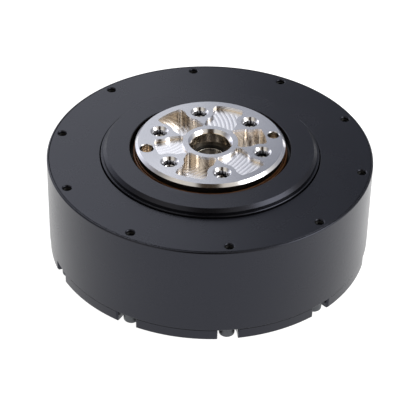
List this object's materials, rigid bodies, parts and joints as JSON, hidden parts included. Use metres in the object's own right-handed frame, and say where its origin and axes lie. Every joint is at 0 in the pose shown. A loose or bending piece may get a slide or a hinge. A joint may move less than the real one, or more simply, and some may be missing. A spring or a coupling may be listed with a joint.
{
  "type": "robot joint actuator",
  "caption": "Round black robot joint actuator: a flat motor and planetary gear stage in one housing, turning a bright machined output flange with screw, dowel and pilot holes.",
  "frame": {"origin": "centre of the flat back face, on the output axis", "axes": "+Z along the output axis towards the output flange; +Y through one of the rim screws"},
  "size_m": [0.12, 0.12, 0.0441],
  "materials": {
    "black_anodised": "satin black anodised, fine bead blast",
    "machined_aluminium": "bright machined, clear",
    "black_screw": "black oxide",
    "zinc_screw": "zinc plated",
    "board_laminate": "green solder mask",
    "socket_plastic": "moulded nylon",
    "chip_plastic": "moulded epoxy",
    "capacitor_ceramic": "ceramic",
    "winding_copper": "enamelled copper wire",
    "electrical_steel": "bare steel, oiled",
    "nickel_magnet": "nickel plated",
    "bearing_steel": "ground",
    "gear_steel": "cut and hardened",
    "spring_steel": "phosphated",
    "bush_bronze": "turned bronze",
    "spacer_plastic": "natural nylon",
    "brown_fkm": "brown fluoro rubber"
  },
  "bodies": {
    "housing": {"rear_cover": "black_anodised", "shell": "black_anodised", "front_cover": "black_anodised", "gearbox_housing": "black_anodised", "housing_screws": "black_screw", "housing_screw_washers": "black_screw", "rear_cover_screws": "black_screw", "board_screws": "zinc_screw", "driver_board": "board_laminate", "power_socket": "socket_plastic", "signal_socket_left": "socket_plastic", "signal_socket_right": "socket_plastic", "power_transistors": "chip_plastic", "controller_chip": "chip_plastic", "encoder_chip": "chip_plastic", "board_capacitors": "capacitor_ceramic", "phase_leads": "winding_copper", "stator_core": "electrical_steel", "stator_coils": "winding_copper", "rotor_bearing_outer": "bearing_steel", "ring_gear": "gear_steel", "ring_gear_dowels": "bearing_steel", "ring_gear_snap_ring": "spring_steel", "gearbox_screws": "black_screw", "output_bearing_outer": "bearing_steel", "output_seal": "brown_fkm"},
    "carrier": {"output_flange": "machined_aluminium", "carrier_plate": "gear_steel", "carrier_screws": "black_screw", "planet_pins": "bearing_steel", "thrust_washers": "bush_bronze", "output_bearing_inner": "bearing_steel", "sun_shaft_bush": "bearing_steel", "bush_circlip": "spring_steel"},
    "rotor": {"rotor_cup": "electrical_steel", "rotor_magnets": "nickel_magnet", "rotor_hub": "bearing_steel", "hub_screws": "zinc_screw", "encoder_magnet": "nickel_magnet", "sun_gear": "gear_steel", "rotor_bearing_inner": "bearing_steel"},
    "planet_1": {"planet_gear_1": "gear_steel", "planet_bush_1": "bush_bronze"},
    "planet_2": {"planet_gear_2": "gear_steel", "planet_bush_2": "bush_bronze"},
    "planet_3": {"planet_gear_3": "gear_steel", "planet_bush_3": "bush_bronze"},
    "roller_set": {"output_bearing_rollers": "bearing_steel", "output_bearing_spacers": "spacer_plastic"},
    "ball_set": {"rotor_bearing_balls": "bearing_steel"}
  },
  "joints": [
    {"name": "output_spin", "type": "hinge", "parent": "housing", "child": "carrier", "pos_m": [0, 0, 0.03295], "axis": [0, 0, 1], "continuous": true},
    {"name": "rotor_spin", "type": "hinge", "parent": "housing", "child": "rotor", "pos_m": [0, 0, 0.0104], "axis": [0, 0, 1], "continuous": true},
    {"name": "planet_1_spin", "type": "hinge", "parent": "carrier", "child": "planet_1", "pos_m": [0.00692, 0.01498, 0.02485], "axis": [0, 0, 1], "continuous": true},
    {"name": "planet_2_spin", "type": "hinge", "parent": "carrier", "child": "planet_2", "pos_m": [-0.01643, -0.0015, 0.02485], "axis": [0, 0, 1], "continuous": true},
    {"name": "planet_3_spin", "type": "hinge", "parent": "carrier", "child": "planet_3", "pos_m": [0.00951, -0.01348, 0.02485], "axis": [0, 0, 1], "continuous": true},
    {"name": "roller_set_spin", "type": "hinge", "parent": "housing", "child": "roller_set", "pos_m": [0, 0, 0.03295], "axis": [0, 0, 1], "continuous": true},
    {"name": "ball_set_spin", "type": "hinge", "parent": "housing", "child": "ball_set", "pos_m": [0, 0, 0.0104], "axis": [0, 0, 1], "continuous": true}
  ],
  "couplings": [
    {"joint": "rotor_spin", "follows": "output_spin", "ratio": 5.5},
    {"joint": "planet_1_spin", "follows": "output_spin", "ratio": -2.5714},
    {"joint": "planet_2_spin", "follows": "output_spin", "ratio": -2.5714},
    {"joint": "planet_3_spin", "follows": "output_spin", "ratio": -2.5714},
    {"joint": "roller_set_spin", "follows": "output_spin", "ratio": 0.47909},
    {"joint": "ball_set_spin", "follows": "output_spin", "ratio": 2.3269}
  ]
}
